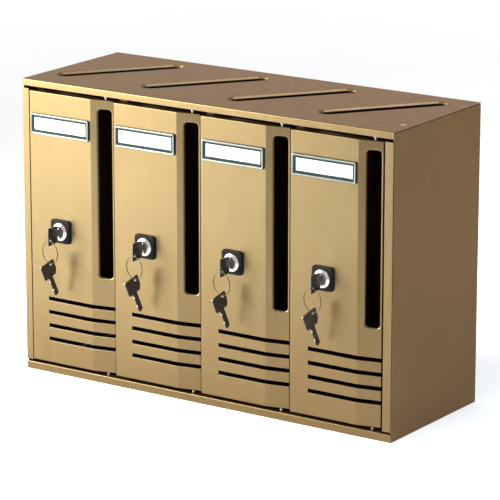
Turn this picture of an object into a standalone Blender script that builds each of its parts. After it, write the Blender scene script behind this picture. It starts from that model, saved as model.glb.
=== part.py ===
"""Cluster mailbox unit: four letter boxes side by side in one folded sheet-metal casing.

Metres, +Z up.  X runs along the row of doors, Y runs from the doors to the back, and the
origin is the centre of the casing's bottom face.  Three local frames are used:
  casing frame: x from the casing's left side, y back from the doors' plane, z from the bottom;
  door frame:   x from the door's left edge, y back from its front face, z as the casing;
  lock frame:   origin on the lock's axis in the plane of the door's front face.
"""
import math

import bmesh
import bpy
from mathutils import Matrix, Vector

MM = 0.001

# Casing
WIDTH = 490 * MM
HEIGHT = 340 * MM
DEPTH = 180 * MM
SHEET = 1.0 * MM
GAP = 0.3 * MM
SEAM = 0.8 * MM
BOXES = 4

TOP_LIP = 7.6 * MM
BOTTOM_LIP = 9.2 * MM
LIP_RETURN = 13.5 * MM
LIP_END_INSET = 3.0 * MM
JAMB_LEFT = 8.9 * MM
JAMB_RIGHT = 10.0 * MM
JAMB_TOP = HEIGHT - TOP_LIP - 3.2 * MM
JAMB_BOTTOM = BOTTOM_LIP + 2.9 * MM
JAMB_GROOVE = 1.2 * MM
RIGHT_JAMB_RETURN = 12.0 * MM

STRIKE_FRONT = 15.6 * MM
STRIKE_REACH = 8.0 * MM
STRIKE_CLEARANCE = 0.6 * MM

FIXING_RADIUS = 2.6 * MM
FIXING_SPACING_X = 380 * MM
FIXING_SPACING_Z = 240 * MM

# Diagonal mail slot in the top of each box, in the casing's x and y from the door's left edge
TOP_SLOT_START = Vector((12.5 * MM, 38.4 * MM))
TOP_SLOT_END = Vector((100.2 * MM, 158.4 * MM))
TOP_SLOT_WIDTH = 20 * MM
COLLAR_DROP = 3.0 * MM
COLLAR_WALL = 0.8 * MM

# Door
FIRST_DOOR_X = 9.5 * MM
DOOR_PITCH = 117.3 * MM
DOOR_WIDTH = 113.4 * MM
DOOR_TOP = HEIGHT - 12.6 * MM
DOOR_BOTTOM = 13.0 * MM
DOOR_DEPTH = 12.0 * MM
FOLD_X = 85.8 * MM
STRIP_SLOPE = 0.203
FRONT_SLOT_LOW = Vector((94.3 * MM, 123.3 * MM))
FRONT_SLOT_HIGH = Vector((110.7 * MM, 316.5 * MM))
FRONT_SLOT_CORNER = 4.0 * MM
LOUVRES = 4
LOUVRE_X = 23.5 * MM
LOUVRE_TOP_Z = 90.5 * MM
LOUVRE_PITCH = 15.8 * MM
LOUVRE_HEIGHT = 4.5 * MM
LOUVRE_CUT_DEPTH = 8.0 * MM

# Hinge pins, one above and one below each door
PIVOT_X = 102.5 * MM
PIVOT_Y = 7.5 * MM
PIN_RADIUS = 1.5 * MM
PIN_HOLE_RADIUS = 1.95 * MM
PIN_SHOULDER_RADIUS = 2.3 * MM
PIN_SHOULDER_LENGTH = 2.4 * MM
PIN_REACH = 3.0 * MM

# Name plate
PLATE_X = 2.9 * MM
PLATE_TOP = HEIGHT - 37.5 * MM
PLATE_WIDTH = 81.0 * MM
PLATE_HEIGHT = 24.0 * MM
PLATE_THICKNESS = 2.2 * MM
PLATE_CORNER = 1.6 * MM
PLATE_RIM = 3.6 * MM
LABEL_THICKNESS = 0.5 * MM

# Lock, in the lock frame
LOCK_X = 43.0 * MM
LOCK_Z = 169.8 * MM
ESCUTCHEON_SIDE = 27.0 * MM
ESCUTCHEON_CORNER = 3.6 * MM
ESCUTCHEON_FRONT = -3.3 * MM
BARREL_RADIUS = 8.0 * MM
BARREL_HOLE_RADIUS = 8.5 * MM
BARREL_END = 17.0 * MM
FLANGE_RADIUS = 10.2 * MM
FLANGE_FRONT = -5.8 * MM
BORE_RADIUS = 6.35 * MM
NUT_RADIUS = 12.6 * MM
NUT_THICKNESS = 4.0 * MM
PLUG_RADIUS = 6.0 * MM
PLUG_FRONT = -6.2 * MM
PLUG_END = 18.0 * MM
KEYWAY_WIDTH = 2.4 * MM
KEYWAY_HEIGHT = 7.2 * MM
KEYWAY_END = 17.2 * MM
SHANK_RADIUS = 3.4 * MM
SCREW_HEAD_RADIUS = 5.0 * MM
SCREW_HEAD_LENGTH = 2.0 * MM
CAM_THICKNESS = 1.5 * MM
CAM_HOLE_RADIUS = 3.75 * MM
CAM_WIDTH = 14.0 * MM
CAM_REACH = 41.0 * MM

# Keys; a key's own frame has its origin in the middle of the bow's hole, with the blade
# pointing along +Y and the bow's plate in the YZ plane
KEY_THICKNESS = 1.8 * MM
BOW_LENGTH = 18.0 * MM
BOW_ABOVE = 8.4 * MM
BOW_BELOW = 11.9 * MM
BOW_CHAMFER = 1.0 * MM
BOW_TO_PLUG = 1.3 * MM
BLADE_LENGTH = 24.0 * MM
BLADE_HALF = 3.2 * MM
KEY_CUTS = 5
KEY_CUT_DEPTH = 1.3 * MM
HOLE_FROM_END = 4.0 * MM
HOLE_BELOW_AXIS = 6.2 * MM
HOLE_RADIUS = 1.7 * MM
RING_RADIUS = 13.0 * MM
RING_WIRE_RADIUS = 0.6 * MM
HANG = 0.6 * MM
RING_TWIST = math.radians(-13)
SPARE_TILT = math.radians(23)

ROUND_SIDES = 24
SMALL_SIDES = 12
CORNER_STEPS = 3

FINISHES = {
    "gold_paint": ((0.66, 0.53, 0.29), 0.42, 0.35),
    "zinc_steel": ((0.62, 0.62, 0.60), 0.35, 0.9),
    "nickel": ((0.80, 0.79, 0.76), 0.18, 1.0),
    "dark_nickel": ((0.10, 0.09, 0.09), 0.25, 0.9),
    "black_plastic": ((0.02, 0.02, 0.02), 0.35, 0.0),
    "grey_plastic": ((0.62, 0.66, 0.66), 0.3, 0.0),
    "paper": ((0.95, 0.95, 0.94), 0.8, 0.0),
}


def clear_scene():
    for old in list(bpy.data.objects):
        bpy.data.objects.remove(old, do_unlink=True)


def part_material(name, finish):
    """Each part has a material of its own, in one of the finishes."""
    colour, roughness, metallic = FINISHES[finish]
    material = bpy.data.materials.new(f"{name}_{finish}")
    material.use_nodes = True
    shader = material.node_tree.nodes["Principled BSDF"]
    shader.inputs["Base Color"].default_value = (*colour, 1.0)
    shader.inputs["Roughness"].default_value = roughness
    shader.inputs["Metallic"].default_value = metallic
    return material


# ---------------------------------------------------------------- outlines

def circle(radius, sides, centre=(0.0, 0.0)):
    turn = 2 * math.pi / sides
    return [
        (centre[0] + radius * math.cos(turn * (i + 0.5)), centre[1] + radius * math.sin(turn * (i + 0.5)))
        for i in range(sides)
    ]


def arc(centre, radius, start, end, steps):
    """Points from angle start to angle end, both in degrees and both included."""
    return [
        (
            centre[0] + radius * math.cos(math.radians(start + (end - start) * i / steps)),
            centre[1] + radius * math.sin(math.radians(start + (end - start) * i / steps)),
        )
        for i in range(steps + 1)
    ]


def rectangle(low, high):
    return [(low[0], low[1]), (high[0], low[1]), (high[0], high[1]), (low[0], high[1])]


def rounded_rectangle(low, high, radius):
    """A rectangle with round corners, counter-clockwise from the lower right."""
    points = arc((high[0] - radius, low[1] + radius), radius, -90, 0, CORNER_STEPS)
    points += arc((high[0] - radius, high[1] - radius), radius, 0, 90, CORNER_STEPS)
    points += arc((low[0] + radius, high[1] - radius), radius, 90, 180, CORNER_STEPS)
    points += arc((low[0] + radius, low[1] + radius), radius, 180, 270, CORNER_STEPS)
    return points


def obround(start, end, width):
    """A slot with round ends, whose tips are at start and end."""
    along = (end - start).normalized()
    heading = math.degrees(math.atan2(along.y, along.x))
    radius = width / 2
    points = arc(end - along * radius, radius, heading - 90, heading + 90, 2 * CORNER_STEPS + 2)
    points += arc(start + along * radius, radius, heading + 90, heading + 270, 2 * CORNER_STEPS + 2)
    return points


# ---------------------------------------------------------------- solids

def along_z(point, height):
    return (point[0], point[1], height)


def along_y(point, depth):
    return (point[0], depth, point[1])


def along_x(point, side):
    return (side, point[0], point[1])


def add_prism(bm, outline, low, high, direction=along_z):
    """A closed prism on an outline, from low to high along the direction."""
    bottom = [bm.verts.new(direction(point, low)) for point in outline]
    top = [bm.verts.new(direction(point, high)) for point in outline]
    faces = [bm.faces.new(bottom), bm.faces.new(top)]
    for i in range(len(outline)):
        j = (i + 1) % len(outline)
        faces.append(bm.faces.new((bottom[i], bottom[j], top[j], top[i])))
    bmesh.ops.recalc_face_normals(bm, faces=faces)


def add_turned(bm, profile, sides):
    """A solid turned about the Y axis from (radius, y) points; a radius of 0 lies on the axis."""
    rows = []
    for radius, y in profile:
        if radius == 0:
            rows.append([bm.verts.new((0, y, 0))] * sides)
        else:
            rows.append([bm.verts.new((x, y, z)) for x, z in circle(radius, sides)])
    faces = []
    on_axis = profile[0][0] == 0
    for k in range(len(rows) - 1 if on_axis else len(rows)):
        near, far = rows[k], rows[(k + 1) % len(rows)]
        for i in range(sides):
            j = (i + 1) % sides
            corners = dict.fromkeys((near[i], near[j], far[j], far[i]))
            faces.append(bm.faces.new(tuple(corners)))
    bmesh.ops.recalc_face_normals(bm, faces=faces)


def add_torus(bm, radius, wire, sides, wire_sides):
    """A wire ring in the XZ plane."""
    loops = []
    for x, z in circle(1.0, sides):
        loops.append([bm.verts.new((x * (radius + u), v, z * (radius + u))) for u, v in circle(wire, wire_sides)])
    faces = []
    for k in range(sides):
        near, far = loops[k], loops[(k + 1) % sides]
        for i in range(wire_sides):
            j = (i + 1) % wire_sides
            faces.append(bm.faces.new((near[i], near[j], far[j], far[i])))
    bmesh.ops.recalc_face_normals(bm, faces=faces)


def place_mesh(bm, name, shift):
    """Turns a finished bmesh into a linked object, with its mesh moved by shift."""
    bmesh.ops.translate(bm, verts=bm.verts, vec=shift)
    mesh = bpy.data.meshes.new(name)
    bm.to_mesh(mesh)
    bm.free()
    item = bpy.data.objects.new(name, mesh)
    bpy.context.scene.collection.objects.link(item)
    return item


def make_part(name, bm, finish, shift=(0, 0, 0), parent=None, smooth=False):
    item = place_mesh(bm, name, shift)
    item.parent = parent
    item.data.materials.append(part_material(name, finish))
    if smooth:
        item.data.shade_smooth()
        item.data.set_sharp_from_angle(angle=math.radians(35))
    return item


def combine(item, bm, operation, shift=(0, 0, 0)):
    """A Boolean with a hidden tool, which stands in the item's own frame."""
    tool = place_mesh(bm, f"{item.name}_{operation.lower()}", shift)
    tool.parent = item.parent
    tool.hide_render = True
    tool.display_type = "WIRE"
    modifier = item.modifiers.new(operation.title(), "BOOLEAN")
    modifier.operation = operation
    modifier.solver = "EXACT"
    modifier.object = tool


def axis_empty(name, location, parent=None):
    """An empty on a joint's axis, which carries the pieces that the joint moves."""
    empty = bpy.data.objects.new(name, None)
    empty.location = location
    empty.parent = parent
    bpy.context.scene.collection.objects.link(empty)
    return empty


# ---------------------------------------------------------------- casing

CASING = Vector((-WIDTH / 2, -DEPTH / 2, 0))


def door_x(number):
    """The left edge of a door, counted from 1, in the casing frame."""
    return FIRST_DOOR_X + DOOR_PITCH * (number - 1)


def pin_hole_tool(low, high):
    bm = bmesh.new()
    for number in range(1, BOXES + 1):
        centre = (door_x(number) + PIVOT_X, PIVOT_Y)
        add_prism(bm, circle(PIN_HOLE_RADIUS, SMALL_SIDES, centre), low, high)
    return bm


def lipped_panel(name, flat_low, flat_high, lip_low, lip_high, return_low):
    """A full-width sheet with a front lip, and a return behind the lip that holds the hinge pins."""
    bm = bmesh.new()
    add_prism(bm, rectangle((0, 0), (WIDTH, DEPTH)), flat_low, flat_high)
    panel = make_part(name, bm, "gold_paint", CASING)
    bm = bmesh.new()
    add_prism(bm, rectangle((0, 0), (WIDTH, SHEET)), lip_low, lip_high)
    combine(panel, bm, "UNION", CASING)
    bm = bmesh.new()
    inner = rectangle((LIP_END_INSET, SHEET / 2), (WIDTH - LIP_END_INSET, LIP_RETURN))
    add_prism(bm, inner, return_low, return_low + SHEET)
    combine(panel, bm, "UNION", CASING)
    return panel


def make_top_panel():
    lip_bottom = HEIGHT - TOP_LIP
    panel = lipped_panel("top_panel", HEIGHT - SHEET, HEIGHT, lip_bottom, HEIGHT, lip_bottom)
    combine(panel, pin_hole_tool(lip_bottom - SHEET, lip_bottom + 2 * SHEET), "DIFFERENCE", CASING)
    collars = bmesh.new()
    holes = bmesh.new()
    for number in range(1, BOXES + 1):
        offset = Vector((door_x(number), 0))
        along = (TOP_SLOT_END - TOP_SLOT_START).normalized()
        start, end = offset + TOP_SLOT_START, offset + TOP_SLOT_END
        wall = along * COLLAR_WALL
        outer = obround(start - wall, end + wall, TOP_SLOT_WIDTH + 2 * COLLAR_WALL)
        add_prism(collars, outer, HEIGHT - SHEET - COLLAR_DROP, HEIGHT - SHEET / 2)
        add_prism(holes, obround(start, end, TOP_SLOT_WIDTH), HEIGHT - 2 * COLLAR_DROP, HEIGHT + SHEET)
    combine(panel, collars, "UNION", CASING)
    combine(panel, holes, "DIFFERENCE", CASING)


def make_bottom_panel():
    return_low = BOTTOM_LIP - SHEET
    panel = lipped_panel("bottom_panel", 0, SHEET, 0, BOTTOM_LIP, return_low)
    combine(panel, pin_hole_tool(return_low - SHEET, BOTTOM_LIP + SHEET), "DIFFERENCE", CASING)


def jamb_outline(width, inner_return, strike):
    """Front flange, groove at the casing's corner, return, and a strike flange if there is one.

    Drawn for the left side, x from the casing's outer face; the outline is one folded strip.
    """
    groove = SHEET + JAMB_GROOVE
    points = [(0, 0), (width, 0)]
    if strike:
        tip = width + STRIKE_CLEARANCE + STRIKE_REACH
        points += [(width, inner_return - SHEET), (tip, inner_return - SHEET), (tip, inner_return)]
    else:
        points += [(width, inner_return)]
    points += [(width - SHEET, inner_return), (width - SHEET, SHEET), (2 * SHEET, SHEET)]
    points += [(2 * SHEET, groove + SHEET), (0.5 * SHEET, groove + SHEET), (0.5 * SHEET, groove)]
    points += [(SHEET, groove), (SHEET, SHEET), (0, SHEET)]
    return points


def make_side_panel(name, mirror, width, inner_return, strike):
    """mirror maps the left side's x to this side's x."""
    wall = [(mirror(x), y) for x, y in rectangle((0, SHEET + JAMB_GROOVE), (SHEET, DEPTH))]
    bm = bmesh.new()
    add_prism(bm, wall, SHEET + GAP, HEIGHT - SHEET - SEAM)
    panel = make_part(name, bm, "gold_paint", CASING)
    jamb = [(mirror(x), y) for x, y in jamb_outline(width, inner_return, strike)]
    bm = bmesh.new()
    add_prism(bm, jamb, JAMB_BOTTOM, JAMB_TOP)
    combine(panel, bm, "UNION", CASING)


def make_back_panel():
    inset = SHEET + GAP
    bm = bmesh.new()
    add_prism(bm, rectangle((inset, inset), (WIDTH - inset, HEIGHT - inset)), DEPTH - SHEET, DEPTH, along_y)
    panel = make_part("back_panel", bm, "gold_paint", CASING)
    bm = bmesh.new()
    for side in (-1, 1):
        for level in (-1, 1):
            centre = (WIDTH / 2 + side * FIXING_SPACING_X / 2, HEIGHT / 2 + level * FIXING_SPACING_Z / 2)
            add_prism(bm, circle(FIXING_RADIUS, SMALL_SIDES, centre), DEPTH - 2 * SHEET, DEPTH + SHEET, along_y)
    combine(panel, bm, "DIFFERENCE", CASING)


def make_partitions():
    """Flat dividers, each with its front edge turned to the right as the next door's strike."""
    for number in range(1, BOXES):
        left = door_x(number + 1) - STRIKE_CLEARANCE - SHEET
        tip = door_x(number + 1) + STRIKE_REACH
        front = STRIKE_FRONT
        back = DEPTH - SHEET - GAP
        outline = [(left, front), (tip, front), (tip, front + SHEET), (left + SHEET, front + SHEET)]
        outline += [(left + SHEET, back), (left, back)]
        bm = bmesh.new()
        add_prism(bm, outline, SHEET + GAP, HEIGHT - SHEET - GAP)
        make_part(f"partition_{number}", bm, "gold_paint", CASING)


def make_casing():
    make_top_panel()
    make_bottom_panel()
    make_side_panel("side_panel_left", lambda x: x, JAMB_LEFT, STRIKE_FRONT + SHEET, True)
    make_side_panel("side_panel_right", lambda x: WIDTH - x, JAMB_RIGHT, RIGHT_JAMB_RETURN, False)
    make_back_panel()
    make_partitions()


# ---------------------------------------------------------------- hinge pins

def make_pin(name, number, lip, door_edge, towards_door):
    """A pin riveted in a lip's return, with a shoulder next to it; towards_door is +1 or -1 along Z."""
    shoulder_start = lip + towards_door * GAP
    shoulder_end = shoulder_start + towards_door * PIN_SHOULDER_LENGTH
    tip = door_edge + towards_door * (SHEET + PIN_REACH)
    root = lip - towards_door * (SHEET + 2 * GAP)
    bm = bmesh.new()
    add_prism(bm, circle(PIN_RADIUS, SMALL_SIDES), min(root, tip), max(root, tip))
    centre = CASING + Vector((door_x(number) + PIVOT_X, PIVOT_Y, 0))
    pin = make_part(name, bm, "zinc_steel", centre)
    bm = bmesh.new()
    low, high = sorted((shoulder_start, shoulder_end))
    add_prism(bm, circle(PIN_SHOULDER_RADIUS, SMALL_SIDES), low, high)
    combine(pin, bm, "UNION", centre)


# ---------------------------------------------------------------- door

def strip_y(x, offset=0.0):
    """The strip beside the fold leans back to the right; offset is measured through the sheet."""
    return (x - FOLD_X) * STRIP_SLOPE + offset * math.hypot(1, STRIP_SLOPE)


def make_door(number, hinge):
    """A shallow tray folded from one sheet, open at the back."""
    shift = Vector((-PIVOT_X, -PIVOT_Y, 0))
    right = DOOR_WIDTH
    outer = [(0, 0), (FOLD_X, 0), (right, strip_y(right)), (right, DOOR_DEPTH), (0, DOOR_DEPTH)]
    bm = bmesh.new()
    add_prism(bm, outer, DOOR_BOTTOM, DOOR_TOP)
    door = make_part(f"door_{number}", bm, "gold_paint", shift, hinge)
    inner_right = right - SHEET
    inner_fold = FOLD_X - SHEET * STRIP_SLOPE / 2
    open_back = DOOR_DEPTH + SHEET
    inner = [(SHEET, SHEET), (inner_fold, SHEET), (inner_right, strip_y(inner_right, SHEET))]
    inner += [(inner_right, open_back), (SHEET, open_back)]
    bm = bmesh.new()
    add_prism(bm, inner, DOOR_BOTTOM + SHEET, DOOR_TOP - SHEET)
    combine(door, bm, "DIFFERENCE", shift)

    cuts = bmesh.new()
    slot = rounded_rectangle(FRONT_SLOT_LOW, FRONT_SLOT_HIGH, FRONT_SLOT_CORNER)
    add_prism(cuts, slot, -SHEET, DOOR_DEPTH - SHEET, along_y)
    for row in range(LOUVRES):
        top = LOUVRE_TOP_Z - LOUVRE_PITCH * row
        louvre = rectangle((LOUVRE_X, top - LOUVRE_HEIGHT), (right + SHEET, top))
        add_prism(cuts, louvre, -SHEET, LOUVRE_CUT_DEPTH, along_y)
    barrel_hole = circle(BARREL_HOLE_RADIUS, ROUND_SIDES, (LOCK_X, LOCK_Z))
    add_prism(cuts, barrel_hole, -SHEET, 2 * SHEET, along_y)
    for edge in (DOOR_BOTTOM, DOOR_TOP):
        pin_hole = circle(PIN_HOLE_RADIUS, SMALL_SIDES, (PIVOT_X, PIVOT_Y))
        add_prism(cuts, pin_hole, edge - 2 * SHEET, edge + 2 * SHEET)
    combine(door, cuts, "DIFFERENCE", shift)


def make_name_plate(number, hinge):
    """A clear-fronted frame with its paper label inside."""
    shift = Vector((-PIVOT_X, -PIVOT_Y, 0))
    low = Vector((PLATE_X, PLATE_TOP - PLATE_HEIGHT))
    high = Vector((PLATE_X + PLATE_WIDTH, PLATE_TOP))
    rim = Vector((PLATE_RIM, PLATE_RIM))
    slack = Vector((GAP, GAP))
    back = -GAP
    bm = bmesh.new()
    add_prism(bm, rounded_rectangle(low, high, PLATE_CORNER), back - PLATE_THICKNESS, back, along_y)
    frame = make_part(f"name_frame_{number}", bm, "grey_plastic", shift, hinge)
    bm = bmesh.new()
    add_prism(bm, rectangle(low + rim, high - rim), back - 2 * PLATE_THICKNESS, back + SHEET, along_y)
    combine(frame, bm, "DIFFERENCE", shift)
    bm = bmesh.new()
    paper = rectangle(low + rim + slack, high - rim - slack)
    add_prism(bm, paper, back - LABEL_THICKNESS, back, along_y)
    make_part(f"name_label_{number}", bm, "paper", shift, hinge)


# ---------------------------------------------------------------- lock

def make_lock_case(number, hinge):
    """The pieces of the lock that stay still on the door: escutcheon, body and nut."""
    shift = Vector((LOCK_X - PIVOT_X, -PIVOT_Y, LOCK_Z))
    half = ESCUTCHEON_SIDE / 2
    bm = bmesh.new()
    face = rounded_rectangle((-half, -half), (half, half), ESCUTCHEON_CORNER)
    add_prism(bm, face, ESCUTCHEON_FRONT, -GAP, along_y)
    escutcheon = make_part(f"escutcheon_{number}", bm, "black_plastic", shift, hinge)
    bm = bmesh.new()
    hole = circle(BARREL_HOLE_RADIUS, ROUND_SIDES)
    add_prism(bm, hole, ESCUTCHEON_FRONT - SHEET, SHEET, along_y)
    combine(escutcheon, bm, "DIFFERENCE", shift)

    flange_back = ESCUTCHEON_FRONT - GAP
    profile = [(BORE_RADIUS, FLANGE_FRONT), (FLANGE_RADIUS, FLANGE_FRONT), (FLANGE_RADIUS, flange_back)]
    profile += [(BARREL_RADIUS, flange_back), (BARREL_RADIUS, BARREL_END), (BORE_RADIUS, BARREL_END)]
    bm = bmesh.new()
    add_turned(bm, profile, ROUND_SIDES)
    make_part(f"lock_body_{number}", bm, "nickel", shift, hinge, smooth=True)

    nut_front = SHEET + GAP
    bm = bmesh.new()
    add_prism(bm, circle(NUT_RADIUS, 6), nut_front, nut_front + NUT_THICKNESS, along_y)
    nut = make_part(f"lock_nut_{number}", bm, "zinc_steel", shift, hinge)
    bm = bmesh.new()
    add_prism(bm, hole, 0, nut_front + 2 * NUT_THICKNESS, along_y)
    combine(nut, bm, "DIFFERENCE", shift)


def make_lock_core(number, axis):
    """The turning pieces: the plug with its cam screw, and the cam, which hangs down when unlocked."""
    head_start = PLUG_END + CAM_THICKNESS + 2 * GAP + SHEET / 10
    profile = [(0, PLUG_FRONT), (PLUG_RADIUS, PLUG_FRONT), (PLUG_RADIUS, PLUG_END)]
    profile += [(SHANK_RADIUS, PLUG_END), (SHANK_RADIUS, head_start), (SCREW_HEAD_RADIUS, head_start)]
    profile += [(SCREW_HEAD_RADIUS, head_start + SCREW_HEAD_LENGTH), (0, head_start + SCREW_HEAD_LENGTH)]
    bm = bmesh.new()
    add_turned(bm, profile, ROUND_SIDES)
    plug = make_part(f"lock_plug_{number}", bm, "nickel", parent=axis, smooth=True)
    bm = bmesh.new()
    keyway = Vector((KEYWAY_WIDTH / 2, KEYWAY_HEIGHT / 2))
    add_prism(bm, rectangle(-keyway, keyway), PLUG_FRONT - SHEET, KEYWAY_END, along_y)
    combine(plug, bm, "DIFFERENCE")

    cam_front = PLUG_END + GAP
    bm = bmesh.new()
    top, tip = Vector((0, CAM_WIDTH / 2)), Vector((0, -CAM_REACH))
    add_prism(bm, obround(tip, top, CAM_WIDTH), cam_front, cam_front + CAM_THICKNESS, along_y)
    cam = make_part(f"lock_cam_{number}", bm, "zinc_steel", parent=axis)
    bm = bmesh.new()
    add_prism(bm, circle(CAM_HOLE_RADIUS, SMALL_SIDES), PLUG_END - SHEET, cam_front + 2 * CAM_THICKNESS, along_y)
    combine(cam, bm, "DIFFERENCE")


# ---------------------------------------------------------------- keys

def blade_edge(shoulder_y, tip_y):
    """The cut edge of the blade, from the bow to the tip: a row of V cuts."""
    step = (tip_y - shoulder_y) / (KEY_CUTS + 1.5)
    points = []
    for i in range(KEY_CUTS):
        crest = shoulder_y + step * (i + 0.6)
        depth = KEY_CUT_DEPTH * (0.6 + 0.4 * math.cos(2.1 * i))
        points += [(crest, BLADE_HALF), (crest + step / 2, BLADE_HALF - depth)]
    return points + [(tip_y - step / 2, BLADE_HALF)]


def key_outline():
    """Bow and blade in the key's own frame, as (y, z) points."""
    bow_out = -HOLE_FROM_END
    bow_in = bow_out + BOW_LENGTH
    tip = bow_in + BLADE_LENGTH
    axis_z = HOLE_BELOW_AXIS
    c = BOW_CHAMFER
    bow_top = [(bow_out, BOW_ABOVE - c), (bow_out + c, BOW_ABOVE), (bow_in - c, BOW_ABOVE)]
    bow_top += [(bow_in, BOW_ABOVE - c), (bow_in, BLADE_HALF)]
    blade = blade_edge(bow_in, tip)
    blade += [(tip, BLADE_HALF * 0.3), (tip - 2 * c, -BLADE_HALF), (bow_in, -BLADE_HALF)]
    bow_bottom = [(bow_in, -BOW_BELOW * 0.7), (bow_in - 6 * c, -BOW_BELOW + 0.6 * c)]
    bow_bottom += [(bow_out + c, -BOW_BELOW), (bow_out, -BOW_BELOW + c)]
    return [(y, z + axis_z) for y, z in bow_top + blade + bow_bottom]


def make_key(name, holder):
    half = KEY_THICKNESS / 2
    bm = bmesh.new()
    add_prism(bm, key_outline(), -half, half, along_x)
    key = make_part(name, bm, "dark_nickel", parent=holder)
    bm = bmesh.new()
    add_prism(bm, circle(HOLE_RADIUS, SMALL_SIDES), -2 * half, 2 * half, along_x)
    combine(key, bm, "DIFFERENCE")


def spare_rotation():
    """The spare key hangs by its bow, blade down and leaning towards the door, turned over."""
    back, up = Vector((0, 1, 0)), Vector((0, 0, 1))
    blade = back * math.sin(SPARE_TILT) - up * math.cos(SPARE_TILT)
    above = -(back * math.cos(SPARE_TILT) + up * math.sin(SPARE_TILT))
    side = blade.cross(above)
    turned = Matrix((side, blade, above)).transposed()
    return Matrix.Rotation(RING_TWIST, 3, "Z") @ turned


def make_keys(number, lock_axis):
    hole_y = PLUG_FRONT - BOW_TO_PLUG - BOW_LENGTH + HOLE_FROM_END
    key_holder = axis_empty(f"key_axis_{number}", (0, hole_y, -HOLE_BELOW_AXIS), lock_axis)
    make_key(f"key_{number}", key_holder)

    ring_axis = axis_empty(f"ring_axis_{number}", (0, 0, 0), key_holder)
    ring_axis.rotation_euler.z = RING_TWIST
    bm = bmesh.new()
    add_torus(bm, RING_RADIUS, RING_WIRE_RADIUS, ROUND_SIDES, 6)
    ring_centre = (0, 0, -HANG - RING_RADIUS)
    make_part(f"key_ring_{number}", bm, "nickel", ring_centre, ring_axis, smooth=True)

    spare_z = -2 * HANG - 2 * RING_RADIUS
    spare_axis = axis_empty(f"spare_axis_{number}", (0, 0, spare_z), key_holder)
    spare_axis.rotation_euler = spare_rotation().to_euler()
    make_key(f"spare_key_{number}", spare_axis)


# ---------------------------------------------------------------- one box

def make_box(number):
    make_pin(f"hinge_pin_top_{number}", number, HEIGHT - TOP_LIP, DOOR_TOP, -1)
    make_pin(f"hinge_pin_bottom_{number}", number, BOTTOM_LIP, DOOR_BOTTOM, 1)
    hinge_place = CASING + Vector((door_x(number) + PIVOT_X, PIVOT_Y, 0))
    hinge = axis_empty(f"hinge_axis_{number}", hinge_place)
    make_door(number, hinge)
    make_name_plate(number, hinge)
    make_lock_case(number, hinge)
    lock_axis = axis_empty(f"lock_axis_{number}", (LOCK_X - PIVOT_X, -PIVOT_Y, LOCK_Z), hinge)
    make_lock_core(number, lock_axis)
    make_keys(number, lock_axis)


clear_scene()
make_casing()
for box_number in range(1, BOXES + 1):
    make_box(box_number)
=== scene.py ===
"""Looks of the cluster mailbox unit: folded sheet-metal shells, locks, keys, name plates,
materials, light and camera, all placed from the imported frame.

Metres, +Z up.  Most shapes are drawn in the same local frames as the CAD:
  casing frame: x from the casing's left side, y back from the doors' plane, z from the bottom;
  door frame:   x from the door's left edge, y back from its front face, z as the casing;
  lock frame:   origin on the lock's axis in the plane of the door's front face.
"""
import math

import bmesh
import bpy
from mathutils import Matrix, Vector, noise


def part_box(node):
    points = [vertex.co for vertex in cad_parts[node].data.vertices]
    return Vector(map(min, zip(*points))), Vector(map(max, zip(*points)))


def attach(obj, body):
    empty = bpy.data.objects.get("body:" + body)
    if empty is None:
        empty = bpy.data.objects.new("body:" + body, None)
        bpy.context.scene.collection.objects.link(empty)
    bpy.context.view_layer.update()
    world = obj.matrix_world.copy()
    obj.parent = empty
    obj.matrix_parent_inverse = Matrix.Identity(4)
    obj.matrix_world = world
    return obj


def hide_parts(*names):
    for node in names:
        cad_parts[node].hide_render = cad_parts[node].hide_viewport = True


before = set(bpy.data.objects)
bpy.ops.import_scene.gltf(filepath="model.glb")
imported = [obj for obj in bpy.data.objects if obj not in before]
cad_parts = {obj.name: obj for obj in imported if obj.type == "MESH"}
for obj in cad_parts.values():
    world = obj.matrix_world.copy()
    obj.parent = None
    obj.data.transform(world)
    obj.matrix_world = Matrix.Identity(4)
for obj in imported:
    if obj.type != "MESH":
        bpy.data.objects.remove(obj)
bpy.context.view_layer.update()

MM = 0.001
BOXES = 4
CORNER = Vector((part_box("top_panel")[0].x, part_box("top_panel")[0].y, 0))
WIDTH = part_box("top_panel")[1].x - CORNER.x
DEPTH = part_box("top_panel")[1].y - CORNER.y
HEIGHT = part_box("top_panel")[1].z
SHEET = 1.0 * MM

TOP_LIP = 7.6 * MM
BOTTOM_LIP = 9.2 * MM
BOTTOM_LIP_LEAN = 1.1 * MM
LIP_RETURN = 13.5 * MM
LIP_END_INSET = 3.0 * MM
LIP_BEND = 1.3 * MM
WELD_WIDTH = 1.6 * MM
WELD_LENGTH = 4.8 * MM
WELD_SPOTS = (Vector((477.6, 36.6)) * MM, Vector((480.2, 38.4)) * MM)

TOP_SLOT_START = Vector((12.5, 38.4)) * MM
TOP_SLOT_END = Vector((100.2, 158.4)) * MM
TOP_SLOT_WIDTH = 20 * MM
TOP_SLOT_ROLL = 2.2 * MM
TOP_SLOT_BEND = 0.7 * MM
TOP_SLOT_COLLAR = 3.0 * MM
TOP_SLOT_SLOPE = 51

FOLD_X = 85.8 * MM
STRIP_SLOPE = 0.203
FRONT_SLOT = (Vector((94.3, 123.3)) * MM, Vector((110.7, 316.5)) * MM)
FRONT_SLOT_CORNER = 4.0 * MM
FRONT_SLOT_ROLL = 1.9 * MM
FRONT_SLOT_COLLAR = 3.4 * MM
LOUVRES = 4
LOUVRE_X = 23.5 * MM
LOUVRE_TOP_Z = 90.5 * MM
LOUVRE_PITCH = 15.8 * MM
LOUVRE_HEIGHT = 4.5 * MM
LOUVRE_CUT_DEPTH = 8.0 * MM
LOUVRE_EASE = 0.35 * MM
PIVOT = Vector((102.5, 7.5)) * MM
PIN_HOLE_RADIUS = 1.95 * MM

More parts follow.
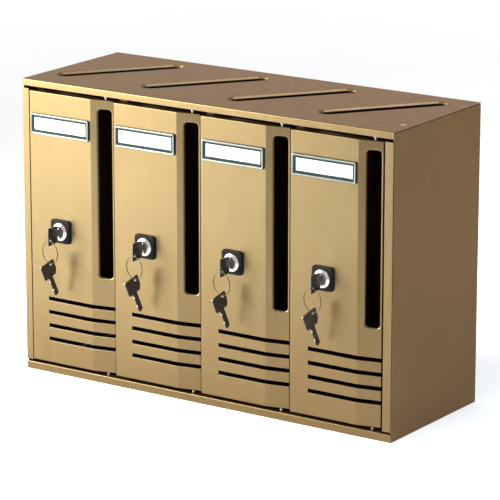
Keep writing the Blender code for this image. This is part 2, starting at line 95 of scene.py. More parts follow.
LOCK_X = 43.0 * MM
LOCK_Z = 169.8 * MM
BARREL_HOLE_RADIUS = 8.5 * MM

PLATE_RIM = 3.6 * MM
PLATE_CORNER = 2.2 * MM
PLATE_LEDGE = 4.5 * MM
PLATE_RAGGED = 1.8 * MM
PLATE_STEPS = 64

RING_WIRE_RADIUS = 0.33 * MM
RING_TWIST = math.radians(-13)

CAMERA_AZIMUTH = 34.2044
CAMERA_ELEVATION = 14.8903
CAMERA_ROLL = 0.0438
CAMERA_DISTANCE = 3.536
CAMERA_OFFSET = Vector((2.82, -12.27)) * MM
FOCAL_LENGTH = 227.8


def door_corner(number):
    """The door frame's origin, in the world."""
    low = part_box(f"door_{number}")[0]
    return Vector((low.x, low.y, 0))


def lock_centre(number):
    return door_corner(number) + Vector((LOCK_X, 0, LOCK_Z))


# ---------------------------------------------------------------- materials

class Finish:
    """A Principled material with helpers for the noise that drives its colour, roughness and bump."""

    def __init__(self, name, colour, **sockets):
        self.material = bpy.data.materials.new(name)
        self.material.use_nodes = True
        self.tree = self.material.node_tree
        self.shader = self.tree.nodes["Principled BSDF"]
        self.place = self.add("ShaderNodeTexCoord").outputs["Object"]
        self.colour = self.add("ShaderNodeRGB").outputs[0]
        self.colour.default_value = (*colour, 1)
        for socket, value in sockets.items():
            self.shader.inputs[socket.replace("_", " ")].default_value = value

    def add(self, kind):
        return self.tree.nodes.new(kind)

    def link(self, source, target):
        self.tree.links.new(source, target)

    def noise(self, scale, detail=2.0, stretch=(1, 1, 1)):
        """Noise over the object's own coordinates; scale is features per metre."""
        mapping = self.add("ShaderNodeMapping")
        mapping.inputs["Scale"].default_value = stretch
        self.link(self.place, mapping.inputs["Vector"])
        texture = self.add("ShaderNodeTexNoise")
        texture.inputs["Scale"].default_value = scale
        texture.inputs["Detail"].default_value = detail
        self.link(mapping.outputs["Vector"], texture.inputs["Vector"])
        return texture.outputs["Fac"]

    def spread(self, value, low, high, start=0.3, end=0.7):
        """Maps a value from start..end onto low..high."""
        node = self.add("ShaderNodeMapRange")
        node.inputs["From Min"].default_value = start
        node.inputs["From Max"].default_value = end
        node.inputs["To Min"].default_value = low
        node.inputs["To Max"].default_value = high
        self.link(value, node.inputs["Value"])
        return node.outputs["Result"]

    def math(self, operation, a, b):
        node = self.add("ShaderNodeMath")
        node.operation = operation
        for socket, value in zip(node.inputs, (a, b)):
            if isinstance(value, float):
                socket.default_value = value
            else:
                self.link(value, socket)
        return node.outputs[0]

    def shade(self, value):
        """Multiplies the colour so far by a grey value."""
        node = self.add("ShaderNodeVectorMath")
        node.operation = "SCALE"
        self.link(self.colour, node.inputs[0])
        self.link(value, node.inputs["Scale"])
        self.colour = node.outputs[0]

    def tint(self, value, colour):
        """Mixes another colour in where value is high."""
        node = self.add("ShaderNodeMix")
        node.data_type = "RGBA"
        self.link(value, node.inputs["Factor"])
        self.link(self.colour, node.inputs[6])
        node.inputs[7].default_value = (*colour, 1)
        self.colour = node.outputs[2]

    def edges(self, radius, low, high):
        """High on edges sharper than the radius, from the gap between the bevelled and the true normal."""
        bevel = self.add("ShaderNodeBevel")
        bevel.samples = 4
        bevel.inputs["Radius"].default_value = radius
        geometry = self.add("ShaderNodeNewGeometry")
        dot = self.add("ShaderNodeVectorMath")
        dot.operation = "DOT_PRODUCT"
        self.link(bevel.outputs["Normal"], dot.inputs[0])
        self.link(geometry.outputs["Normal"], dot.inputs[1])
        return self.spread(dot.outputs["Value"], 1.0, 0.0, low, high)

    def bump(self, height, distance, strength=1.0, after=None):
        node = self.add("ShaderNodeBump")
        node.inputs["Strength"].default_value = strength
        node.inputs["Distance"].default_value = distance
        self.link(height, node.inputs["Height"])
        if after:
            self.link(after, node.inputs["Normal"])
        return node.outputs["Normal"]

    def finish(self, roughness=None, normal=None):
        self.link(self.colour, self.shader.inputs["Base Color"])
        if roughness:
            self.link(roughness, self.shader.inputs["Roughness"])
        if normal:
            self.link(normal, self.shader.inputs["Normal"])
        return self.material


def gold_enamel(name, colour, roughness, edge_highlight_and_wear):
    """Metallic stove enamel: fine flakes, a little orange peel, and edges and folds painted lighter in
    patches: a painted highlight along the edges, partly rubbed-through paint.
    """
    paint = Finish(name, colour, Metallic=0.92, Coat_Weight=0.03, Coat_Roughness=0.3)
    paint.shader.inputs["Specular Tint"].default_value = (0.85, 0.66, 0.54, 1)
    flakes = paint.noise(1900, 1.0)
    clouds = paint.noise(16, 3.0)
    drift = paint.noise(70, 2.0, (1, 1, 0.25))
    paint.shade(paint.spread(flakes, 0.965, 1.035))
    paint.shade(paint.spread(clouds, 0.97, 1.03))
    paint.shade(paint.spread(drift, 0.975, 1.025))
    # Lighter edges in patches: a painted highlight along edges and folds, partly rubbed-through paint.
    patches = paint.spread(paint.noise(260, 3.0), 0.0, edge_highlight_and_wear)
    edge_highlight_and_wear_mask = paint.math("MULTIPLY", paint.edges(0.9 * MM, 0.72, 0.97), patches)
    paint.tint(edge_highlight_and_wear_mask, (0.62, 0.50, 0.36))
    specks = paint.spread(paint.noise(420, 0.0), 0.0, 0.35, 0.79, 0.86)
    paint.tint(specks, (0.05, 0.035, 0.02))
    peel = paint.bump(paint.noise(430, 2.0), 0.01 * MM, 0.4)
    grain = paint.bump(flakes, 0.003 * MM, 0.6, peel)
    return paint.finish(paint.spread(paint.noise(90, 3.0), roughness - 0.02, roughness + 0.03), grain)


def bright_metal(name, colour, roughness, streaks):
    """Plated metal with faint wipe marks along X and cloudy roughness."""
    metal = Finish(name, colour, Metallic=1.0)
    marks = metal.noise(900, 2.0, (streaks, 1, 1))
    metal.shade(metal.spread(marks, 0.90, 1.06))
    metal.tint(metal.spread(metal.noise(140, 3.0), 0.0, 0.25), (0.42, 0.38, 0.33))
    clouded = metal.spread(marks, roughness * 0.75, roughness * 1.3)
    return metal.finish(clouded, metal.bump(marks, 0.01 * MM, 0.5))


def dark_key_metal():
    metal = Finish("key_dark_nickel", (0.085, 0.078, 0.072), Metallic=0.95)
    marks = metal.noise(1200, 3.0, (1, 1, 0.3))
    metal.shade(metal.spread(marks, 0.8, 1.15))
    # Edges tinted near white: a painted highlight where the edges catch the key light.
    metal.tint(metal.edges(0.45 * MM, 0.62, 0.90), (0.95, 0.93, 0.88))
    return metal.finish(metal.spread(metal.noise(300, 2.0), 0.26, 0.42), metal.bump(marks, 0.02 * MM, 0.5))


def black_moulding():
    plastic = Finish("satin_black_plastic", (0.008, 0.007, 0.008), Specular_IOR_Level=0.03)
    grain = plastic.noise(1500, 2.0)
    plastic.shade(plastic.spread(plastic.noise(60, 2.0), 0.8, 1.3))
    # Edges a little lighter grey: a painted sheen along the edges.
    plastic.tint(plastic.edges(0.8 * MM, 0.75, 0.97), (0.035, 0.033, 0.035))
    return plastic.finish(plastic.spread(grain, 0.40, 0.56), plastic.bump(grain, 0.03 * MM, 0.6))


def clear_moulding():
    """Silver-grey translucent plastic of the name plate frames."""
    plastic = Finish("silver_grey_plastic", (0.078, 0.080, 0.074), Coat_Weight=0.9, Coat_Roughness=0.12)
    plastic.shader.inputs["Subsurface Weight"].default_value = 0.35
    plastic.shader.inputs["Subsurface Radius"].default_value = (0.001, 0.001, 0.001)
    flow = plastic.noise(55, 3.0, (0.4, 1, 1))
    plastic.shade(plastic.spread(flow, 0.86, 1.10))
    plastic.tint(plastic.spread(plastic.noise(240, 2.0), 0.0, 0.35), (0.050, 0.058, 0.054))
    return plastic.finish(plastic.spread(flow, 0.26, 0.40), plastic.bump(flow, 0.05 * MM, 0.5))


def painted_shade_moulding():
    """The inner step and outer edge of the frame, painted a dark grey-green: painted shade where the frame's
    walls fall in shadow.
    """
    plastic = Finish("painted_shade_teal_plastic", (0.010, 0.018, 0.020), Specular_IOR_Level=0.05)
    flow = plastic.noise(320, 3.0)
    plastic.shade(plastic.spread(flow, 0.7, 1.5))
    return plastic.finish(plastic.spread(flow, 0.3, 0.5), plastic.bump(flow, 0.05 * MM, 0.5))


def label_paper():
    paper = Finish("white_label_card", (0.60, 0.61, 0.62), Specular_IOR_Level=0.25)
    fibres = paper.noise(1400, 4.0, (0.4, 1, 1))
    paper.shade(paper.spread(fibres, 0.95, 1.03))
    paper.shade(paper.spread(paper.noise(45, 2.0), 0.97, 1.02))
    return paper.finish(paper.spread(fibres, 0.6, 0.8), paper.bump(fibres, 0.02 * MM, 0.6))


GOLD = gold_enamel("gold_enamel", (0.131, 0.085, 0.041), 0.31, 0.5)
# A darker, rougher copy of the gold for the partitions: painted shade for the compartments' unlit interior.
GOLD_PAINTED_SHADE = gold_enamel("gold_enamel_painted_shade", (0.09, 0.055, 0.03), 0.5, 0.1)
NICKEL = bright_metal("polished_nickel", (0.52, 0.50, 0.47), 0.16, 0.3)
ZINC = bright_metal("zinc_plate", (0.19, 0.18, 0.17), 0.36, 0.15)
BARE_STEEL = bright_metal("bare_weld_steel", (0.95, 0.92, 0.88), 0.30, 0.3)
SPRING_STEEL = bright_metal("brown_spring_steel", (0.035, 0.028, 0.016), 0.36, 0.5)
KEY_METAL = dark_key_metal()
BLACK = black_moulding()
FRAME_PLASTIC = clear_moulding()
FRAME_PAINTED_SHADE = painted_shade_moulding()
PAPER = label_paper()


# ---------------------------------------------------------------- outlines

def arc(centre, radius, start, end, steps):
    """Points from angle start to angle end, both in degrees and both included."""
    angles = [math.radians(start + (end - start) * i / steps) for i in range(steps + 1)]
    return [Vector((centre[0] + radius * math.cos(a), centre[1] + radius * math.sin(a))) for a in angles]


def circle(radius, sides, centre=(0, 0)):
    return arc(centre, radius, 180 / sides, 360 - 180 / sides, sides - 1)


def rectangle(low, high):
    return [Vector(p) for p in ((low[0], low[1]), (high[0], low[1]), (high[0], high[1]), (low[0], high[1]))]


def rounded_rectangle(low, high, radius, steps=8):
    points = arc((high[0] - radius, low[1] + radius), radius, -90, 0, steps)
    points += arc((high[0] - radius, high[1] - radius), radius, 0, 90, steps)
    points += arc((low[0] + radius, high[1] - radius), radius, 90, 180, steps)
    return points + arc((low[0] + radius, low[1] + radius), radius, 180, 270, steps)


def obround(start, end, width, steps=20):
    """A slot with round ends, whose tips are at start and end."""
    along = (end - start).normalized()
    heading = math.degrees(math.atan2(along.y, along.x))
    radius = width / 2
    points = arc(end - along * radius, radius, heading - 90, heading + 90, steps)
    return points + arc(start + along * radius, radius, heading + 90, heading + 270, steps)


def fillet(corners, steps=5):
    """An outline from (x, y, radius) corners, with an arc at each corner that has a radius."""
    outline = []
    for i, (x, y, radius) in enumerate(corners):
        here = Vector((x, y))
        if not radius:
            outline.append(here)
            continue
        to_last = (Vector(corners[i - 1][:2]) - here).normalized()
        to_next = (Vector(corners[(i + 1) % len(corners)][:2]) - here).normalized()
        half = to_last.angle(to_next) / 2
        middle = here + (to_last + to_next).normalized() * radius / math.sin(half)
        start = here + to_last * radius / math.tan(half) - middle
        end = here + to_next * radius / math.tan(half) - middle
        turn = start.angle_signed(end)
        outline += [middle + Matrix.Rotation(-turn * k / steps, 2) @ start for k in range(steps + 1)]
    return outline


# ---------------------------------------------------------------- solids

def along_z(point, height):
    return Vector((point[0], point[1], height))


def along_y(point, depth):
    return Vector((point[0], depth, point[1]))


def along_x(point, side):
    return Vector((side, point[0], point[1]))


def add_rows(bm, rows, closed=False):
    """Bridges rows of points with the same count; the ends are capped unless the rows form a loop."""
    rings = [[bm.verts.new(point) for point in row] for row in rows]
    count = len(rings[0])
    faces = []
    for k in range(len(rings) if closed else len(rings) - 1):
        near, far = rings[k], rings[(k + 1) % len(rings)]
        for i in range(count):
            j = (i + 1) % count
            faces.append(bm.faces.new((near[i], near[j], far[j], far[i])))
    if not closed:
        faces += [bm.faces.new(rings[0]), bm.faces.new(rings[-1])]
    bmesh.ops.recalc_face_normals(bm, faces=faces)


def add_prism(bm, outline, low, high, direction=along_z):
    add_rows(bm, [[direction(p, low) for p in outline], [direction(p, high) for p in outline]])


def add_turned(bm, profile, sides):
    """A body turned about Y from (radius, y) points; a profile that misses the axis makes a ring."""
    rows = [[Vector((p.x, y, p.y)) for p in circle(max(radius, 1e-6), sides)] for radius, y in profile]
    add_rows(bm, rows, closed=profile[0][0] > 0)


def add_swept(bm, path, profile, place):
    """Sweeps a (outwards, deep) profile round a closed counter-clockwise path; place maps to the world."""
    rows = []
    for i, point in enumerate(path):
        along = path[(i + 1) % len(path)] - path[i - 1]
        outwards = Vector((along.y, -along.x)).normalized()
        rows.append([place(point + outwards * u, deep) for u, deep in profile])
    add_rows(bm, rows, closed=True)


def rolled_rim(roll, collar):
    """Section of an edge that is rolled inwards, then runs straight down as a collar."""
    wall = 0.8 * MM
    front = [math.radians(9 * k) for k in range(11)]
    points = [(roll - roll * math.sin(a), roll - roll * math.cos(a)) for a in front]
    points += [(0, collar), (wall, collar)]
    inner_roll = roll - wall
    back = [math.radians(90 - 18 * k) for k in range(5)]
    points += [(roll - inner_roll * math.sin(a), roll - inner_roll * math.cos(a)) for a in back]
    return points + [(roll + 0.3 * MM, wall), (roll + 0.3 * MM, 0.25 * MM)]


def funnel_rim(width, bend, slope, collar):
    """Section of an edge that is pressed down at a slope (degrees), then runs straight down as a collar."""
    flank = (width - bend) / math.cos(math.radians(slope))
    upper = [math.radians(90 + slope * k / 5) for k in range(6)]
    lower = [math.radians(90 + slope + (90 - slope) * k / 4) for k in range(5)]
    drop = bend + flank * math.sin(math.radians(slope))
    points = [(width + bend * math.cos(a), bend - bend * math.sin(a)) for a in upper]
    points += [(bend + bend * math.cos(a), drop - bend * math.sin(a)) for a in lower]
    points += [(0, collar), (bend, collar), (bend, drop), (width, bend)]
    return points + [(width + 0.3 * MM, bend), (width + 0.3 * MM, 0.25 * MM)]


def new_mesh_object(name, bm):
    mesh = bpy.data.meshes.new(name)
    bm.to_mesh(mesh)
    bm.free()
    item = bpy.data.objects.new(name, mesh)
    bpy.context.scene.collection.objects.link(item)
    return item


def apply_modifiers(item):
    bpy.context.view_layer.update()
    evaluated = item.evaluated_get(bpy.context.evaluated_depsgraph_get())
    mesh = bpy.data.meshes.new_from_object(evaluated)
    item.modifiers.clear()
    item.data = mesh


def combine(item, bm, operation):
    """A Boolean, applied at once."""
    tool = new_mesh_object(f"{item.name}_tool", bm)
    modifier = item.modifiers.new("Boolean", "BOOLEAN")
    modifier.operation = operation
    modifier.solver = "EXACT"
    modifier.object = tool
    apply_modifiers(item)
    bpy.data.objects.remove(tool, do_unlink=True)


def join(item, bm):
    """Adds a closed body to an object as it is, where a Boolean would only leave slivers."""
    bm.from_mesh(item.data)
    bm.to_mesh(item.data)
    bm.free()


def smooth(item, angle=40):
    """Smooth shading that keeps large flat faces flat and edges over the angle sharp."""
    item.data.shade_smooth()
    item.data.set_sharp_from_angle(angle=math.radians(angle))
    modifier = item.modifiers.new("Normals", "WEIGHTED_NORMAL")
    modifier.weight = 100
    modifier.keep_sharp = True
    apply_modifiers(item)


def weld(item):
    """Merges what a Boolean leaves split on flat faces."""
    bm = bmesh.new()
    bm.from_mesh(item.data)
    bmesh.ops.remove_doubles(bm, verts=bm.verts, dist=0.002 * MM)
    flat = math.radians(1.0)
    bmesh.ops.dissolve_limit(bm, angle_limit=flat, verts=bm.verts, edges=bm.edges, delimit={"MATERIAL"})
    bm.to_mesh(item.data)
    bm.free()


def soften(item, width, segments=2, limit=40):
    """Rounds every sharp edge a little and shades the rest smooth, and applies it."""
    weld(item)
    modifier = item.modifiers.new("Bevel", "BEVEL")
    modifier.width = width
    modifier.segments = segments
    modifier.limit_method = "ANGLE"
    modifier.angle_limit = math.radians(limit)
    modifier.use_clamp_overlap = True
    modifier.miter_outer = "MITER_ARC"
    apply_modifiers(item)
    smooth(item, limit)


def dress(item, material, body, *nodes):
    """Gives a piece its material and body, and hides the CAD nodes it stands for."""
    if not item.data.materials:
        item.data.materials.append(material)
    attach(item, body)
    if nodes:
        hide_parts(*nodes)


def softened_node(node, material, body, width, segments=2):
    """A copy of a CAD node with its edges rounded."""
    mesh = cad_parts[node].data.copy()
    mesh.materials.clear()
    item = bpy.data.objects.new(f"{node}_shell", mesh)
    bpy.context.scene.collection.objects.link(item)
    soften(item, width, segments)
    dress(item, material, body, node)
    return item


# ---------------------------------------------------------------- casing

def at_casing(bm):
    bmesh.ops.translate(bm, verts=bm.verts, vec=CORNER)
    return bm


def lip_return(low):
    """The shelf behind a lip, which holds the hinge pins."""
    bm = bmesh.new()
    inner = rectangle((LIP_END_INSET, SHEET / 2), (WIDTH - LIP_END_INSET, LIP_RETURN))
    add_prism(bm, inner, low, low + SHEET)
    return at_casing(bm)


def weld_outline(spot, inset):
    """A spot weld seen from above."""
    reach = Vector((0, WELD_LENGTH / 2 - inset))
    return obround(spot - reach, spot + reach, WELD_WIDTH - 2 * inset, 6)


def make_top_panel():
    lip = HEIGHT - TOP_LIP
    top, under = HEIGHT, HEIGHT - SHEET
    inner_bend = LIP_BEND - SHEET
    profile = [(DEPTH, top, 0), (0, top, LIP_BEND), (0, lip, 0.4 * MM), (SHEET, lip, 0)]
    profile += [(SHEET, under, inner_bend), (DEPTH, under, 0)]
    bm = bmesh.new()
    add_prism(bm, fillet(profile), 0, WIDTH, along_x)
    panel = new_mesh_object("top_panel_shell", at_casing(bm))
    combine(panel, lip_return(lip), "UNION")
    holes, rims = bmesh.new(), bmesh.new()
    roll = TOP_SLOT_ROLL
    section = funnel_rim(roll, TOP_SLOT_BEND, TOP_SLOT_SLOPE, TOP_SLOT_COLLAR)
    for number in range(1, BOXES + 1):
        offset = Vector((door_corner(number).x - CORNER.x, 0))
        opening = obround(offset + TOP_SLOT_START, offset + TOP_SLOT_END, TOP_SLOT_WIDTH)
        along = (TOP_SLOT_END - TOP_SLOT_START).normalized() * roll
        start, end = offset + TOP_SLOT_START - along, offset + TOP_SLOT_END + along
        add_prism(holes, obround(start, end, TOP_SLOT_WIDTH + 2 * roll), HEIGHT - 3 * SHEET, HEIGHT + SHEET)
        add_swept(rims, opening, section, lambda p, d: along_z(p, HEIGHT - d))
    for spot in WELD_SPOTS:
        add_prism(holes, weld_outline(spot, -0.03 * MM), HEIGHT - 3 * SHEET, HEIGHT + SHEET)
    combine(panel, at_casing(holes), "DIFFERENCE")
    weld(panel)
    join(panel, at_casing(rims))
    smooth(panel, 35)
    dress(panel, GOLD, "casing", "top_panel")


def make_bottom_panel():
    """Its lip leans back a little towards the bottom, and its top edge is bent over."""
    lean = BOTTOM_LIP_LEAN
    lip = BOTTOM_LIP
    profile = [(DEPTH, 0, 0), (DEPTH, SHEET, 0), (SHEET + lean, SHEET, 0.3 * MM), (SHEET, lip, 0)]
    profile += [(0, lip, 0.6 * MM), (lean, 0, 0.8 * MM)]
    bm = bmesh.new()
    add_prism(bm, fillet(profile), 0, WIDTH, along_x)
    panel = new_mesh_object("bottom_panel_shell", at_casing(bm))
    combine(panel, lip_return(lip - SHEET), "UNION")
    soften(panel, 0.15 * MM, 1, 50)
    dress(panel, GOLD, "casing", "bottom_panel")


def make_spot_welds():
    """Two short bright plugs where the top is welded to the right side, near the front."""
    for i, spot in enumerate(WELD_SPOTS):
        bm = bmesh.new()
        levels = [(0.0, -0.95), (0.0, -0.10), (0.15, -0.02), (0.3, 0.0)]
        rows = [[along_z(p, HEIGHT + z * MM) for p in weld_outline(spot, inset * MM)] for inset, z in levels]
        add_rows(bm, rows)
        mark = new_mesh_object(f"spot_weld_{i + 1}", at_casing(bm))
        smooth(mark)
        dress(mark, BARE_STEEL, "casing")


def make_casing():
    make_top_panel()
    make_bottom_panel()
    softened_node("side_panel_left", GOLD, "casing", 0.25 * MM)
    softened_node("side_panel_right", GOLD, "casing", 0.25 * MM)
    softened_node("back_panel", GOLD, "casing", 0.2 * MM)
    for number in range(1, BOXES):
        # The partitions take the darker gold: painted shade inside the compartments.
        softened_node(f"partition_{number}", GOLD_PAINTED_SHADE, "casing", 0.2 * MM)


# ---------------------------------------------------------------- door

def strip_y(x, through=0.0):
    """Depth of the strip beside the fold; through is measured through the sheet."""
    return max(0.0, x - FOLD_X) * STRIP_SLOPE + through * math.hypot(1, STRIP_SLOPE)


def door_outline(inset, left, fold, right):
    """The tray's outline in the door frame, inset from its outer faces; the last three are bend radii."""
    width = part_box("door_1")[1].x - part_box("door_1")[0].x
    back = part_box("door_1")[1].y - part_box("door_1")[0].y + (SHEET if inset else 0)
    side = width - inset
    corners = [(inset, inset, left), (FOLD_X - inset * STRIP_SLOPE / 2, inset, fold)]
    corners += [(side, strip_y(side, inset), right), (side, back, 0), (inset, back, 0)]
    return fillet(corners)


def add_louvre(bm, low, high, end):
    """A slit that follows the fold, with its front edges eased."""
    ease = LOUVRE_EASE
    section = [(-SHEET, low - ease), (0, low - ease), (ease, low), (LOUVRE_CUT_DEPTH, low)]
    section += [(LOUVRE_CUT_DEPTH, high), (ease, high), (0, high + ease), (-SHEET, high + ease)]
    rows = [[Vector((x, strip_y(x) + depth, z)) for depth, z in section] for x in (LOUVRE_X, FOLD_X, end)]
    add_rows(bm, rows)


def make_door(number):
    corner = door_corner(number)
    low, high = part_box(f"door_{number}")
    bottom, top = low.z, high.z
    bm = bmesh.new()
    add_prism(bm, door_outline(0, 1.2 * MM, 3.0 * MM, 0.6 * MM), bottom, top)
    rim_edges = [e for e in bm.edges if abs(e.verts[0].co.z - e.verts[1].co.z) < 1e-7]
    front_edges = [e for e in rim_edges if max(v.co.y for v in e.verts) < high.y - low.y - 0.1 * MM]
    bmesh.ops.bevel(bm, geom=front_edges, offset=0.9 * MM, segments=3, affect="EDGES", profile=0.5)
    door = new_mesh_object(f"door_{number}_shell", bm)

    hollow = bmesh.new()
    add_prism(hollow, door_outline(SHEET, 0.2 * MM, 2.0 * MM, 0.2 * MM), bottom + SHEET, top - SHEET)
    combine(door, hollow, "DIFFERENCE")

    cuts, rims = bmesh.new(), bmesh.new()
    roll = Vector((FRONT_SLOT_ROLL, FRONT_SLOT_ROLL))
    slot_low, slot_high = FRONT_SLOT
    wide = rounded_rectangle(slot_low - roll, slot_high + roll, FRONT_SLOT_CORNER + FRONT_SLOT_ROLL)
    add_prism(cuts, wide, -SHEET, high.y - low.y - SHEET, along_y)
    for row in range(LOUVRES):
        level = LOUVRE_TOP_Z - LOUVRE_PITCH * row
        add_louvre(cuts, level - LOUVRE_HEIGHT, level, high.x - low.x + SHEET)
    add_prism(cuts, circle(BARREL_HOLE_RADIUS, 32, (LOCK_X, LOCK_Z)), -SHEET, 2 * SHEET, along_y)
    for edge in (bottom, top):
        add_prism(cuts, circle(PIN_HOLE_RADIUS, 16, PIVOT), edge - 2 * SHEET, edge + 2 * SHEET)
    combine(door, cuts, "DIFFERENCE")
    opening = rounded_rectangle(slot_low, slot_high, FRONT_SLOT_CORNER)
    add_swept(rims, opening, rolled_rim(FRONT_SLOT_ROLL, FRONT_SLOT_COLLAR),
              lambda p, d: Vector((p.x, strip_y(p.x, d), p.y)))
    weld(door)
    join(door, rims)
    door.data.transform(Matrix.Translation(corner))
    smooth(door, 35)
    dress(door, GOLD, f"door_{number}_body", f"door_{number}")


# ---------------------------------------------------------------- name plate

def plate_ring(low, high, inset, depth, ragged=0.0):
    """One outline of the frame; the straight lower side carries extra points, which can wander upwards."""
    step = Vector((inset, inset))
    radius = max(PLATE_CORNER - inset, 0.35 * MM)
    ring = rounded_rectangle(low + step, high - step, radius, 6)
    left, right = ring[-1], ring[0]
    for k in range(1, PLATE_STEPS):
        point = left.lerp(right, k / PLATE_STEPS)
        point.y += ragged * (0.5 + 0.5 * noise.noise(Vector((point.x * 620, depth * 100, 0))))
        ring.append(point)
    return [along_y(p, depth) for p in ring]


def make_name_plate(number):
    """A silver-grey frame round a ledge that holds the card, with the ledge, inner step and outer edge
    painted dark as painted shade; the ledge's lower edge is uneven.
    """
    low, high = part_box(f"name_frame_{number}")
    front, back = low.y, high.y
    under = front + 1.62 * MM
    silver = [(0, back), (0, front + 1.0 * MM), (0.2 * MM, front + 0.4 * MM), (0.6 * MM, front)]
    silver += [(1.6 * MM, front + 0.03 * MM), (2.3 * MM, front + 0.45 * MM)]
    dark = [(2.4 * MM, front + 0.8 * MM), (PLATE_LEDGE, front + 0.95 * MM), (PLATE_LEDGE, under)]
    dark += [(PLATE_RIM, under), (PLATE_RIM, back)]
    flat_low, flat_high = Vector((low.x, low.z)), Vector((high.x, high.z))
    rows = []
    for inset, depth in silver + dark:
        ragged = PLATE_RAGGED if inset == PLATE_LEDGE else 0.0
        rows.append(plate_ring(flat_low, flat_high, inset, depth, ragged))
    bm = bmesh.new()
    add_rows(bm, rows, closed=True)
    around = len(rows[0])
    bm.faces.ensure_lookup_table()
    # The outer edge rows and the inner step and ledge get the dark teal: painted shade.
    for k in (0, 1, *range(len(silver) - 1, len(rows))):
        for face in bm.faces[k * around:(k + 1) * around]:
            face.material_index = 1
    item = new_mesh_object(f"name_frame_{number}_moulding", bm)
    item.data.materials.append(FRAME_PLASTIC)
    item.data.materials.append(FRAME_PAINTED_SHADE)
    smooth(item, 50)
    dress(item, FRAME_PLASTIC, f"door_{number}_body", f"name_frame_{number}")


def make_label(number):
    """A hand-cut card, so its lower edge wanders a little."""
    low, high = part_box(f"name_label_{number}")
    steps = 60
    outline = []
    for i in range(steps + 1):
        x = low.x + (high.x - low.x) * i / steps
        raggedness = 0.5 + 0.5 * noise.noise(Vector((x * 700, number * 7.3, 0)))
        outline.append(Vector((x, low.z + raggedness * 0.4 * MM)))
    outline += [Vector((high.x, high.z)), Vector((low.x, high.z))]
    bm = bmesh.new()
    add_prism(bm, outline, low.y, high.y, along_y)
    item = new_mesh_object(f"name_label_{number}_card", bm)
    smooth(item, 30)
    dress(item, PAPER, f"door_{number}_body", f"name_label_{number}")


# ---------------------------------------------------------------- lock

def square_ring(half, radius, sides):
    """A rounded square as points at even angles, so that it bridges to a circle."""
    points = []
    for k in range(sides):
        angle = 2 * math.pi * (k + 0.5) / sides
        c, s = math.cos(angle), math.sin(angle)
        reach = half / max(abs(c), abs(s))
        core = half - radius
        if min(abs(c), abs(s)) * reach > core:
            along = core * (abs(c) + abs(s))
            reach = along + math.sqrt(along * along - 2 * core * core + radius * radius)
        points.append(Vector((c * reach, s * reach)))
    return points


def make_escutcheon(number):
    low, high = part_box(f"escutcheon_{number}")
    half = (high.x - low.x) / 2
    front, back = low.y, high.y
    sides = 96
    levels = [(0, back), (0, front + 1.5 * MM)]
    curve = 1.3 * MM
    turns = [math.radians(18 * k) for k in range(1, 6)]
    levels += [(curve * (1 - math.cos(a)), front + 0.2 * MM + curve * (1 - math.sin(a))) for a in turns]
    levels += [(2.6 * MM, front + 0.05 * MM)]
    rows = [[along_y(p, y) for p in square_ring(half - inset, max(3.6 * MM - inset, 1.2 * MM), sides)]
            for inset, y in levels]
    rows.append([along_y(p, front) for p in circle(9.3 * MM, sides)])
    rows.append([along_y(p, front) for p in circle(BARREL_HOLE_RADIUS, sides)])
    rows.append([along_y(p, back) for p in circle(BARREL_HOLE_RADIUS, sides)])
    bm = bmesh.new()
    add_rows(bm, rows, closed=True)
    centre = lock_centre(number)
    bmesh.ops.translate(bm, verts=bm.verts, vec=Vector((centre.x, 0, centre.z)))
    item = new_mesh_object(f"escutcheon_{number}_moulding", bm)
    smooth(item, 40)
    dress(item, BLACK, f"door_{number}_body", f"escutcheon_{number}")


def make_lock_body(number):
    """Nickel case: a conical flange round the plug, and the barrel behind it."""
    low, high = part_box(f"lock_body_{number}")
    radius = (high.x - low.x) / 2
    front = low.y - lock_centre(number).y
    end = high.y - lock_centre(number).y
    seat = front + 2.2 * MM
    bore, barrel = 6.35 * MM, 8.0 * MM
    profile = [(bore, front + 1.4 * MM), (bore + 0.1 * MM, front + 0.5 * MM)]
    profile += [(bore + 0.35 * MM, front + 0.12 * MM), (bore + 0.7 * MM, front)]
    profile += [(bore + 1.2 * MM, front + 0.15 * MM), (radius - 0.6 * MM, front + 1.35 * MM)]
    profile += [(radius - 0.15 * MM, front + 1.65 * MM), (radius, front + 1.9 * MM), (radius, seat)]
    profile += [(barrel, seat), (barrel, end - 0.4 * MM), (barrel - 0.4 * MM, end), (bore, end)]
    bm = bmesh.new()
    add_turned(bm, profile, 72)
    bmesh.ops.translate(bm, verts=bm.verts, vec=lock_centre(number))
    item = new_mesh_object(f"lock_body_{number}_case", bm)
    smooth(item, 35)
    dress(item, NICKEL, f"door_{number}_body", f"lock_body_{number}")


def make_ring(number):
    """A split ring: two close turns of thin wire."""
    low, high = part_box(f"key_ring_{number}")
    centre = (low + high) / 2
    wire = RING_WIRE_RADIUS
    radius = (high.z - low.z) / 2 - wire
    turns, steps = 2, 72
    side = 0.3 * MM
    rows = []
    for i in range(turns * steps + 1):
        angle = 2 * math.pi * i / steps + math.radians(110)
        cross = side * math.tanh(6 * (i / (turns * steps) - 0.5))
        out = Vector((math.cos(angle), 0, math.sin(angle)))
        middle = out * radius + Vector((0, cross, 0))
        rows.append([middle + out * p.x + Vector((0, p.y, 0)) for p in circle(wire, 8)])
    bm = bmesh.new()
    add_rows(bm, rows)
    place = Matrix.Translation(centre) @ Matrix.Rotation(RING_TWIST, 4, "Z")
    bmesh.ops.transform(bm, verts=bm.verts, matrix=place)
    item = new_mesh_object(f"key_ring_{number}_wire", bm)
    smooth(item, 60)
    dress(item, SPRING_STEEL, f"ring_{number}_body", f"key_ring_{number}")


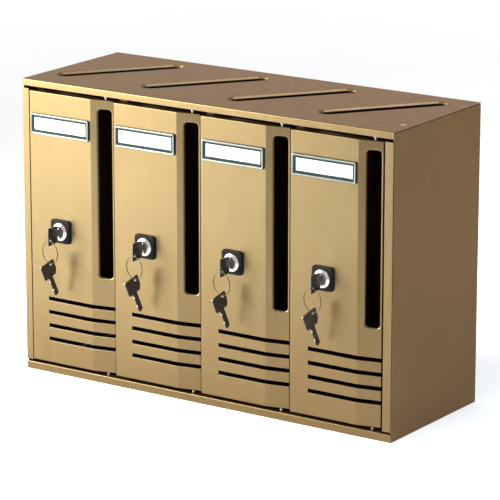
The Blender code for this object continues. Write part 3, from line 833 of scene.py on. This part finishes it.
def make_box(number):
    body = f"door_{number}_body"
    make_door(number)
    for place in ("top", "bottom"):
        softened_node(f"hinge_pin_{place}_{number}", ZINC, "casing", 0.3 * MM)
    make_name_plate(number)
    make_label(number)
    make_escutcheon(number)
    make_lock_body(number)
    softened_node(f"lock_nut_{number}", ZINC, body, 0.4 * MM)
    softened_node(f"lock_plug_{number}", NICKEL, f"lock_{number}_core", 0.2 * MM)
    softened_node(f"lock_cam_{number}", ZINC, f"lock_{number}_core", 0.25 * MM)
    softened_node(f"key_{number}", KEY_METAL, f"key_{number}_body", 0.22 * MM)
    make_ring(number)
    softened_node(f"spare_key_{number}", KEY_METAL, f"spare_{number}_body", 0.22 * MM)


# ---------------------------------------------------------------- stage

def make_floor():
    """A wide, nearly white studio floor, a little whiter away from the object."""
    reach, steps = 9.0, 24
    bm = bmesh.new()
    bmesh.ops.create_grid(bm, x_segments=steps, y_segments=steps, size=reach)
    floor = new_mesh_object("studio_floor", bm)
    surface = Finish("pale_floor", (0.80, 0.80, 0.80), Roughness=0.9, Specular_IOR_Level=0.1)
    surface.shade(surface.spread(surface.noise(3, 2.0), 0.99, 1.01))
    distance = surface.add("ShaderNodeVectorMath")
    distance.operation = "LENGTH"
    surface.link(surface.place, distance.inputs[0])
    surface.shade(surface.spread(distance.outputs["Value"], 1.0, 1.21, 1.0, 2.6))
    floor.data.materials.append(surface.finish())


def compass(azimuth, elevation):
    """A direction from the object; azimuth 0 is straight in front of the doors, positive to the right."""
    a, e = math.radians(azimuth), math.radians(elevation)
    return Vector((math.sin(a) * math.cos(e), -math.cos(a) * math.cos(e), math.sin(e)))


def softbox(name, direction, distance, side, power, colour, aim, spread=180):
    """An area light aimed at a point; direction is its azimuth and elevation from there."""
    light = bpy.data.lights.new(name, "AREA")
    light.shape = "RECTANGLE"
    light.size, light.size_y = side
    light.energy = power
    light.color = colour
    light.spread = math.radians(spread)
    item = bpy.data.objects.new(name, light)
    item.location = Vector(aim) + compass(*direction) * distance
    item.rotation_euler = (Vector(aim) - item.location).to_track_quat("-Z", "Y").to_euler()
    bpy.context.scene.collection.objects.link(item)


def make_light():
    """A warm key on the doors, cool light on the floor at both sides, a top light and a cool rim."""
    softbox("key_softbox", (-54, 18), 1.2, (1.05, 1.0), 27, (0.94, 0.95, 0.80), (-0.07, 0, 0.2), 80)
    softbox("floor_softbox", (-42, 80), 1.3, (0.8, 0.8), 22, (0.74, 1.0, 1.04), (-0.72, -0.92, 0), 65)
    softbox("right_floor_softbox", (70, 80), 1.3, (0.6, 0.6), 3.5, (0.9, 1.0, 1.0), (0.75, -0.32, 0), 50)
    softbox("top_softbox", (-10, 78), 2.4, (1.6, 1.6), 7, (1.0, 0.97, 0.94), (0, 0, 0.17))
    softbox("rim_softbox", (90, 56.8), 2.2, (0.9, 0.9), 16.5, (0.70, 0.80, 1.0), (0, 0, 0.34))
    world = bpy.data.worlds.new("studio_white")
    world.use_nodes = True
    back = world.node_tree.nodes["Background"]
    back.inputs["Color"].default_value = (1.0, 1.0, 1.0, 1)
    back.inputs["Strength"].default_value = 1.0
    bpy.context.scene.world = world


def make_camera():
    back = compass(CAMERA_AZIMUTH, CAMERA_ELEVATION)
    right = compass(CAMERA_AZIMUTH + 90, 0)
    up = back.cross(right)
    basis = Matrix((right, up, back)).transposed() @ Matrix.Rotation(math.radians(CAMERA_ROLL), 3, "Z")
    centre = Vector((0, 0, HEIGHT / 2))
    place = centre + basis @ Vector((CAMERA_OFFSET.x, CAMERA_OFFSET.y, CAMERA_DISTANCE))
    camera = bpy.data.cameras.new("camera")
    camera.lens = FOCAL_LENGTH
    camera.sensor_width = 36
    camera.clip_end = 100
    item = bpy.data.objects.new("camera", camera)
    item.matrix_world = Matrix.Translation(place) @ basis.to_4x4()
    bpy.context.scene.collection.objects.link(item)
    bpy.context.scene.camera = item


bpy.context.scene.view_settings.view_transform = "Standard"
make_camera()
make_casing()
make_spot_welds()
for box_number in range(1, BOXES + 1):
    make_box(box_number)
make_floor()
make_light()
